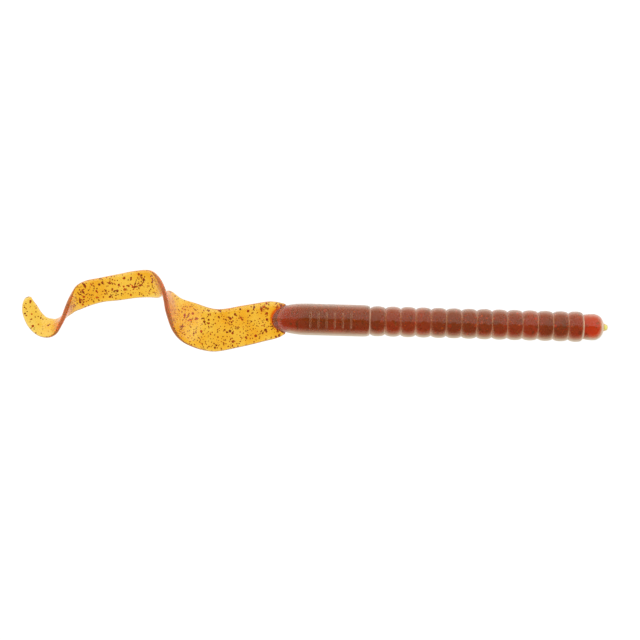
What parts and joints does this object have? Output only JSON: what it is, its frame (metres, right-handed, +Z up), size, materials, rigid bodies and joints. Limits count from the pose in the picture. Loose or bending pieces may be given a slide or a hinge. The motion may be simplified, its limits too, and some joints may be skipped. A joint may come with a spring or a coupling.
{
  "type": "soft plastic worm",
  "caption": "Soft plastic fishing worm: ringed body, smooth collar, curled flat ribbon tail; flexes at every groove and along the ribbon.",
  "frame": {"origin": "middle of the smooth collar, on the body axis", "axes": "+X along the body axis towards the head, +Z up with the worm lying on its side on a flat surface, +Y completes the right hand"},
  "size_m": [0.1742, 0.0237, 0.0141],
  "materials": {
    "body_plastisol": "glossy translucent soft PVC, amber with red and dark flake, reads red-brown where it is thick",
    "tail_plastisol": "glossy translucent soft PVC, amber with red and dark flake, reads amber where it is thin",
    "gate_plastisol": "glossy translucent soft PVC, yellow-green, torn casting gate"
  },
  "bodies": {
    "collar": {"collar": "body_plastisol"},
    "ring_01": {"ring_01": "body_plastisol"},
    "ring_02": {"ring_02": "body_plastisol"},
    "ring_03": {"ring_03": "body_plastisol"},
    "ring_04": {"ring_04": "body_plastisol"},
    "ring_05": {"ring_05": "body_plastisol"},
    "ring_06": {"ring_06": "body_plastisol"},
    "ring_07": {"ring_07": "body_plastisol"},
    "ring_08": {"ring_08": "body_plastisol"},
    "ring_09": {"ring_09": "body_plastisol"},
    "ring_10": {"ring_10": "body_plastisol"},
    "ring_11": {"ring_11": "body_plastisol"},
    "ring_12": {"ring_12": "body_plastisol"},
    "ring_13": {"ring_13": "body_plastisol"},
    "ring_14": {"ring_14": "body_plastisol"},
    "head": {"head": "body_plastisol", "nose_nub": "gate_plastisol"},
    "tail_root": {"tail_root": "tail_plastisol"},
    "ribbon_01": {"ribbon_01": "tail_plastisol"},
    "ribbon_02": {"ribbon_02": "tail_plastisol"},
    "ribbon_03": {"ribbon_03": "tail_plastisol"},
    "ribbon_04": {"ribbon_04": "tail_plastisol"},
    "ribbon_05": {"ribbon_05": "tail_plastisol"},
    "ribbon_06": {"ribbon_06": "tail_plastisol"},
    "ribbon_07": {"ribbon_07": "tail_plastisol"},
    "ribbon_08": {"ribbon_08": "tail_plastisol"},
    "ribbon_09": {"ribbon_09": "tail_plastisol"},
    "ribbon_10": {"ribbon_10": "tail_plastisol"},
    "ribbon_11": {"ribbon_11": "tail_plastisol"},
    "tail_tip": {"tail_tip": "tail_plastisol"}
  },
  "joints": [
    {"name": "body_side_rear", "type": "hinge", "parent": "collar", "child": "ring_01", "pos_m": [0.0119, 0, 0], "axis": [0.0012, 0.0009, 1], "range_deg": [-9, 9], "stiffness_Nm_per_rad": 0.004},
    {"name": "body_lift_rear", "type": "hinge", "parent": "ring_01", "child": "ring_02", "pos_m": [0.01642, 0, 0], "axis": [0.0011, -1, 0.0008], "range_deg": [-9, 9], "stiffness_Nm_per_rad": 0.004},
    {"name": "groove_03_side", "type": "hinge", "parent": "ring_02", "child": "ring_03", "pos_m": [0.02094, 0, 0], "axis": [0.0012, 0.0009, 1], "range_deg": [-9, 9], "stiffness_Nm_per_rad": 0.004},
    {"name": "groove_04_lift", "type": "hinge", "parent": "ring_03", "child": "ring_04", "pos_m": [0.02546, 0, 0], "axis": [0.0011, -1, 0.0008], "range_deg": [-9, 9], "stiffness_Nm_per_rad": 0.004},
    {"name": "groove_05_side", "type": "hinge", "parent": "ring_04", "child": "ring_05", "pos_m": [0.02998, 0, 0], "axis": [0.0012, 0.0009, 1], "range_deg": [-9, 9], "stiffness_Nm_per_rad": 0.004},
    {"name": "groove_06_lift", "type": "hinge", "parent": "ring_05", "child": "ring_06", "pos_m": [0.0345, 0, 0], "axis": [0.0011, -1, 0.0008], "range_deg": [-9, 9], "stiffness_Nm_per_rad": 0.004},
    {"name": "groove_07_side", "type": "hinge", "parent": "ring_06", "child": "ring_07", "pos_m": [0.03902, 0, 0], "axis": [0.0012, 0.0009, 1], "range_deg": [-9, 9], "stiffness_Nm_per_rad": 0.004},
    {"name": "groove_08_lift", "type": "hinge", "parent": "ring_07", "child": "ring_08", "pos_m": [0.04354, 0, 0], "axis": [0.0011, -1, 0.0008], "range_deg": [-9, 9], "stiffness_Nm_per_rad": 0.004},
    {"name": "body_side_front", "type": "hinge", "parent": "ring_08", "child": "ring_09", "pos_m": [0.04806, 0, 0], "axis": [0.0012, 0.0009, 1], "range_deg": [-9, 9], "stiffness_Nm_per_rad": 0.004},
    {"name": "body_lift_front", "type": "hinge", "parent": "ring_09", "child": "ring_10", "pos_m": [0.05258, 0, 0], "axis": [0.0011, -1, 0.0008], "range_deg": [-9, 9], "stiffness_Nm_per_rad": 0.004},
    {"name": "groove_11_side", "type": "hinge", "parent": "ring_10", "child": "ring_11", "pos_m": [0.0571, 0, 0], "axis": [0.0012, 0.0009, 1], "range_deg": [-9, 9], "stiffness_Nm_per_rad": 0.004},
    {"name": "groove_12_lift", "type": "hinge", "parent": "ring_11", "child": "ring_12", "pos_m": [0.06162, 0, 0], "axis": [0.0011, -1, 0.0008], "range_deg": [-9, 9], "stiffness_Nm_per_rad": 0.004},
    {"name": "groove_13_side", "type": "hinge", "parent": "ring_12", "child": "ring_13", "pos_m": [0.06614, 0, 0], "axis": [0.0012, 0.0009, 1], "range_deg": [-9, 9], "stiffness_Nm_per_rad": 0.004},
    {"name": "groove_14_lift", "type": "hinge", "parent": "ring_13", "child": "ring_14", "pos_m": [0.07066, 0, 0], "axis": [0.0011, -1, 0.0008], "range_deg": [-9, 9], "stiffness_Nm_per_rad": 0.004},
    {"name": "groove_15_side", "type": "hinge", "parent": "ring_14", "child": "head", "pos_m": [0.07518, 0, 0], "axis": [0.0012, 0.0009, 1], "range_deg": [-9, 9], "stiffness_Nm_per_rad": 0.004},
    {"name": "tail_swing", "type": "hinge", "parent": "collar", "child": "tail_root", "pos_m": [-0.0124, 0, 0], "axis": [0, 0, 1], "range_deg": [-9, 9], "stiffness_Nm_per_rad": 0.0006},
    {"name": "tail_curl_root", "type": "hinge", "parent": "tail_root", "child": "ribbon_01", "pos_m": [-0.02173, -0.00157, -0.0004], "axis": [-0.004, -0.9985, -0.0545], "range_deg": [-12, 12], "stiffness_Nm_per_rad": 0.0006},
    {"name": "link_02_curl", "type": "hinge", "parent": "ribbon_01", "child": "ribbon_02", "pos_m": [-0.02873, -0.0032, -0.00118], "axis": [-0.0591, -0.9902, -0.1262], "range_deg": [-12, 12], "stiffness_Nm_per_rad": 0.0006},
    {"name": "link_03_curl", "type": "hinge", "parent": "ribbon_02", "child": "ribbon_03", "pos_m": [-0.03585, -0.00389, -0.00132], "axis": [-0.0986, -0.9913, -0.0873], "range_deg": [-12, 12], "stiffness_Nm_per_rad": 0.0006},
    {"name": "link_04_curl", "type": "hinge", "parent": "ribbon_03", "child": "ribbon_04", "pos_m": [-0.04248, -0.00176, 0.00052], "axis": [-0.1005, -0.9563, 0.2745], "range_deg": [-12, 12], "stiffness_Nm_per_rad": 0.0006},
    {"name": "tail_curl_middle", "type": "hinge", "parent": "ribbon_04", "child": "ribbon_05", "pos_m": [-0.04698, 0.00286, 0.00342], "axis": [-0.0431, -0.6903, 0.7222], "range_deg": [-12, 12], "stiffness_Nm_per_rad": 0.0006},
    {"name": "tail_twist", "type": "hinge", "parent": "ribbon_05", "child": "ribbon_06", "pos_m": [-0.05105, 0.00837, 0.005], "axis": [-0.9413, 0.2545, -0.2218], "range_deg": [-15, 15], "stiffness_Nm_per_rad": 0.0006},
    {"name": "link_07_curl", "type": "hinge", "parent": "ribbon_06", "child": "ribbon_07", "pos_m": [-0.05804, 0.00882, 0.004], "axis": [-0.0318, 0.9846, 0.1717], "range_deg": [-12, 12], "stiffness_Nm_per_rad": 0.0006},
    {"name": "link_08_curl", "type": "hinge", "parent": "ribbon_07", "child": "ribbon_08", "pos_m": [-0.06505, 0.00752, 0.00281], "axis": [-0.1241, 0.9816, 0.1452], "range_deg": [-12, 12], "stiffness_Nm_per_rad": 0.0006},
    {"name": "tail_curl_tip", "type": "hinge", "parent": "ribbon_08", "child": "ribbon_09", "pos_m": [-0.07197, 0.00592, 0.00152], "axis": [-0.2322, 0.915, 0.3299], "range_deg": [-12, 12], "stiffness_Nm_per_rad": 0.0006},
    {"name": "link_10_curl", "type": "hinge", "parent": "ribbon_09", "child": "ribbon_10", "pos_m": [-0.07732, 0.00175, -0.00052], "axis": [-0.002, 0.4661, 0.8848], "range_deg": [-12, 12], "stiffness_Nm_per_rad": 0.0006},
    {"name": "link_11_curl", "type": "hinge", "parent": "ribbon_10", "child": "ribbon_11", "pos_m": [-0.08162, -0.00391, -0.00159], "axis": [0.2535, -0.5429, 0.8007], "range_deg": [-12, 12], "stiffness_Nm_per_rad": 0.0006},
    {"name": "link_12_curl", "type": "hinge", "parent": "ribbon_11", "child": "tail_tip", "pos_m": [-0.08787, -0.00222, -0.00169], "axis": [-0.3122, -0.9499, -0.0151], "range_deg": [-12, 12], "stiffness_Nm_per_rad": 0.0006}
  ],
  "couplings": [
    {"joint": "groove_03_side", "follows": "body_side_rear", "ratio": 1},
    {"joint": "groove_04_lift", "follows": "body_lift_rear", "ratio": 1},
    {"joint": "groove_05_side", "follows": "body_side_rear", "ratio": 1},
    {"joint": "groove_06_lift", "follows": "body_lift_rear", "ratio": 1},
    {"joint": "groove_07_side", "follows": "body_side_rear", "ratio": 1},
    {"joint": "groove_08_lift", "follows": "body_lift_rear", "ratio": 1},
    {"joint": "groove_11_side", "follows": "body_side_front", "ratio": 1},
    {"joint": "groove_12_lift", "follows": "body_lift_front", "ratio": 1},
    {"joint": "groove_13_side", "follows": "body_side_front", "ratio": 1},
    {"joint": "groove_14_lift", "follows": "body_lift_front", "ratio": 1},
    {"joint": "groove_15_side", "follows": "body_side_front", "ratio": 1},
    {"joint": "link_02_curl", "follows": "tail_curl_root", "ratio": 1},
    {"joint": "link_03_curl", "follows": "tail_curl_root", "ratio": 1},
    {"joint": "link_04_curl", "follows": "tail_curl_root", "ratio": 1},
    {"joint": "link_07_curl", "follows": "tail_curl_middle", "ratio": 1},
    {"joint": "link_08_curl", "follows": "tail_curl_middle", "ratio": 1},
    {"joint": "link_10_curl", "follows": "tail_curl_tip", "ratio": 1},
    {"joint": "link_11_curl", "follows": "tail_curl_tip", "ratio": 1},
    {"joint": "link_12_curl", "follows": "tail_curl_tip", "ratio": 1}
  ]
}
